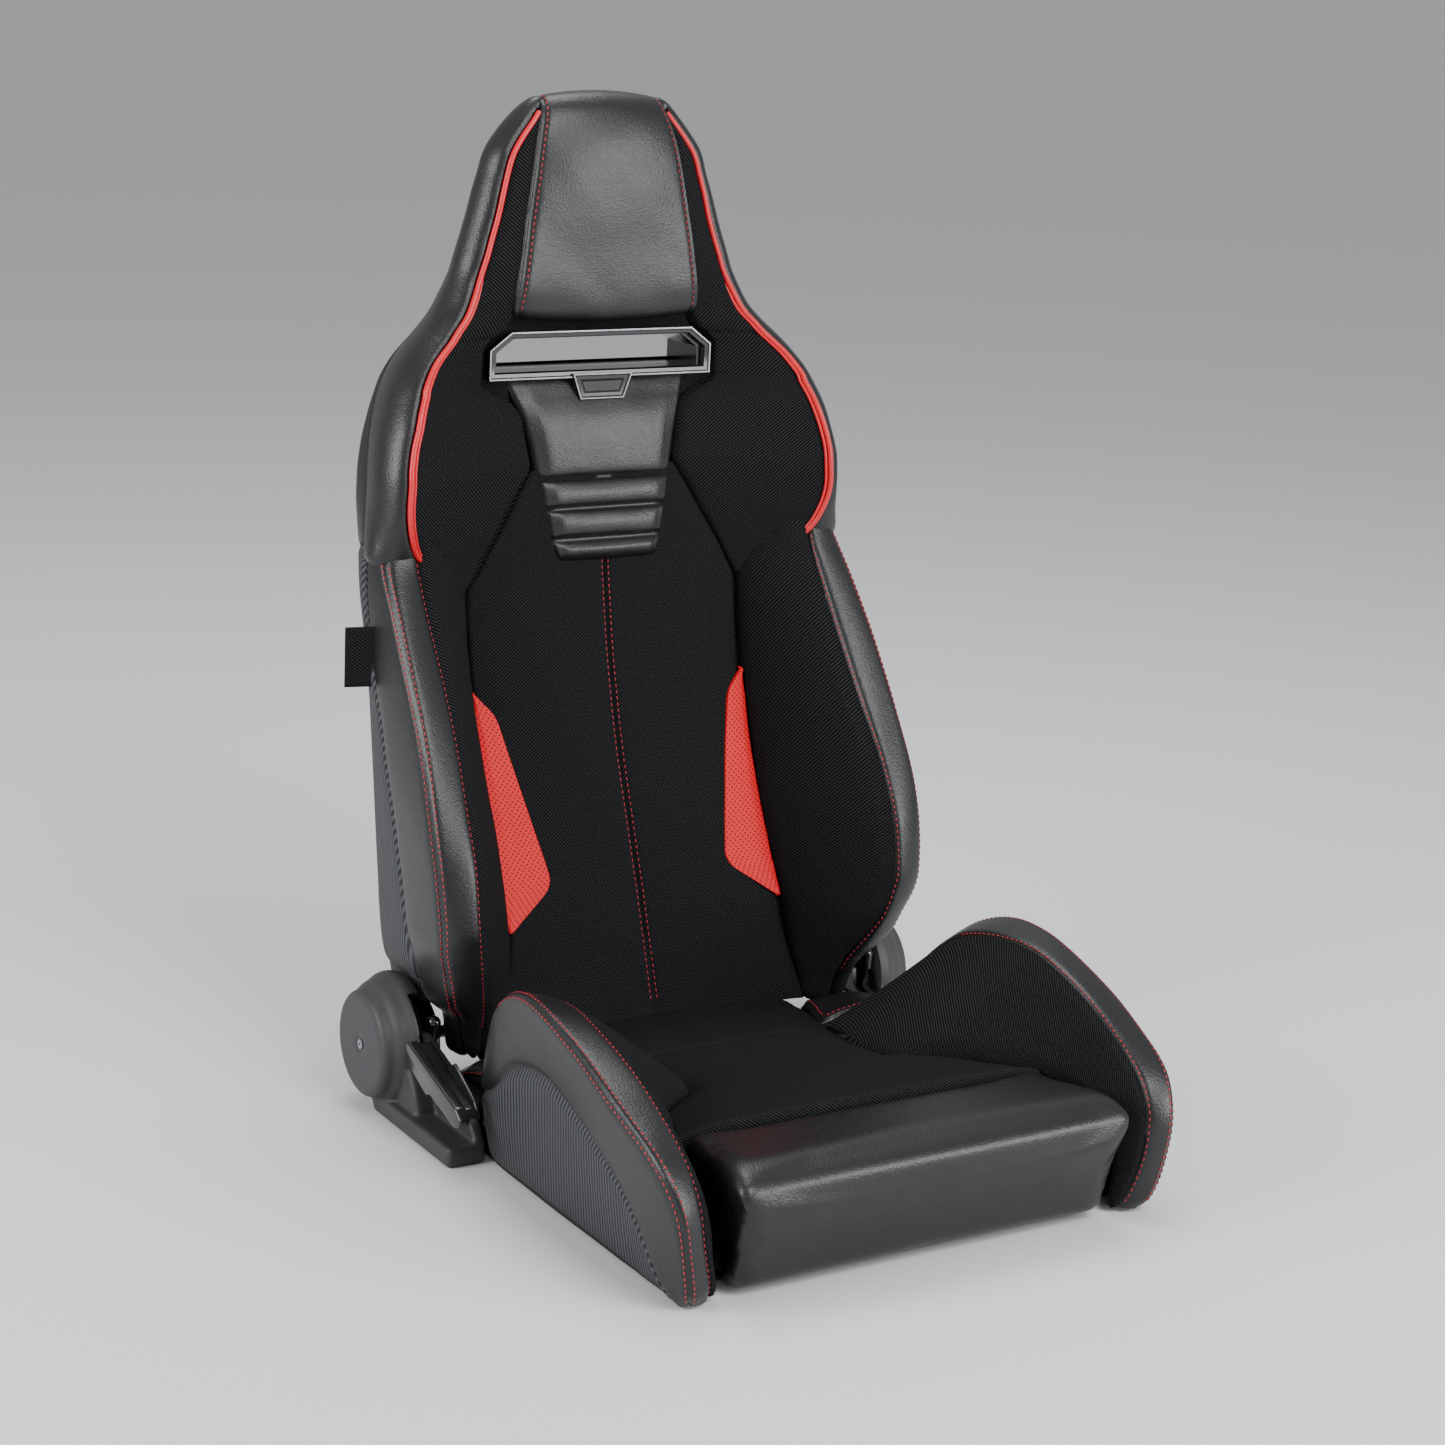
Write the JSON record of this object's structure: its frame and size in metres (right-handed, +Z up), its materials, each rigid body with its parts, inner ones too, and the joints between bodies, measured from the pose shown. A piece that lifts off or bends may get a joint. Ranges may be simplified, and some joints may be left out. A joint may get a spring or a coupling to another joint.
{
  "type": "reclining sport seat",
  "caption": "Reclining bucket-style sport seat with high side bolsters, shoulder wings, a harness slot, red piping and a lever-released recliner on both sides.",
  "frame": {"origin": "centre of the four floor-bolt holes, in the plane of the rails' undersides", "axes": "+Z up, +Y to the rear of the seat, +X to the sitter's left"},
  "size_m": [0.598, 0.717, 0.943],
  "materials": {
    "frame_steel": "satin",
    "zinc_steel": "satin",
    "spring_steel": "satin",
    "cover_plastic": "matte",
    "gloss_plastic": "gloss",
    "leatherette": "satin",
    "woven_fabric": "matte",
    "red_leatherette": "satin",
    "red_piping": "satin",
    "ribbed_vinyl": "matte"
  },
  "bodies": {
    "base": {"base_rail_left": "frame_steel", "base_rail_right": "frame_steel", "front_cross_tube": "frame_steel", "rear_cross_tube": "frame_steel", "seat_pan": "frame_steel", "weld_nuts": "zinc_steel", "cushion_foam": "woven_fabric", "nose_pad": "leatherette", "cushion_bolster_left": "leatherette", "cushion_bolster_right": "leatherette", "cushion_gusset_left": "leatherette", "cushion_gusset_right": "leatherette", "recliner_bracket_left": "frame_steel", "recliner_bracket_right": "frame_steel", "recliner_bolts": "zinc_steel", "pivot_bush_left": "zinc_steel", "pivot_bush_right": "zinc_steel", "recline_spring_left": "spring_steel", "recline_spring_right": "spring_steel", "recliner_cover_left": "cover_plastic", "recliner_cover_right": "cover_plastic", "cover_screws": "zinc_steel", "pawl_pins": "zinc_steel"},
    "lever": {"lever_arm": "frame_steel", "lever_grip": "gloss_plastic", "grip_screws": "zinc_steel", "sync_rod": "zinc_steel", "release_cam_left": "zinc_steel", "release_cam_right": "zinc_steel"},
    "pawl_left": {"pawl_left": "zinc_steel"},
    "pawl_right": {"pawl_right": "zinc_steel"},
    "back": {"recliner_arm_left": "frame_steel", "recliner_arm_right": "frame_steel", "arm_bolts": "zinc_steel", "back_side_plate_left": "frame_steel", "back_side_plate_right": "frame_steel", "back_hoop": "frame_steel", "back_cross_tubes": "frame_steel", "back_springs": "spring_steel", "back_foam": "woven_fabric", "chest_foam": "woven_fabric", "channel_pad": "leatherette", "lumbar_insert_left": "red_leatherette", "lumbar_insert_right": "red_leatherette", "back_bolster_left": "leatherette", "back_bolster_right": "leatherette", "shoulder_left": "woven_fabric", "shoulder_right": "woven_fabric", "head_pad": "leatherette", "piping_left": "red_piping", "piping_right": "red_piping", "slot_bezel": "gloss_plastic", "slot_tunnel": "gloss_plastic", "bezel_badge": "gloss_plastic", "rear_bezel": "gloss_plastic", "back_shell": "ribbed_vinyl", "shell_clips": "cover_plastic", "side_tag": "woven_fabric"}
  },
  "joints": [
    {"name": "back_recline", "type": "hinge", "parent": "base", "child": "back", "pos_m": [0, 0.237, 0.068], "axis": [1, 0, 0], "range_deg": [-60, 20]},
    {"name": "lever_pull", "type": "hinge", "parent": "base", "child": "lever", "pos_m": [0, 0.237, 0.068], "axis": [-1, 0, 0], "range_deg": [0, 20], "stiffness_Nm_per_rad": 3, "springref_deg": -20.05},
    {"name": "pawl_left_release", "type": "hinge", "parent": "base", "child": "pawl_left", "pos_m": [0.242, 0.21585, 0.0205], "axis": [1, 0, 0], "range_deg": [0, 8]},
    {"name": "pawl_right_release", "type": "hinge", "parent": "base", "child": "pawl_right", "pos_m": [-0.242, 0.21585, 0.0205], "axis": [1, 0, 0], "range_deg": [0, 8]}
  ],
  "couplings": [
    {"joint": "pawl_left_release", "follows": "lever_pull", "ratio": 0.4},
    {"joint": "pawl_right_release", "follows": "lever_pull", "ratio": 0.4}
  ]
}
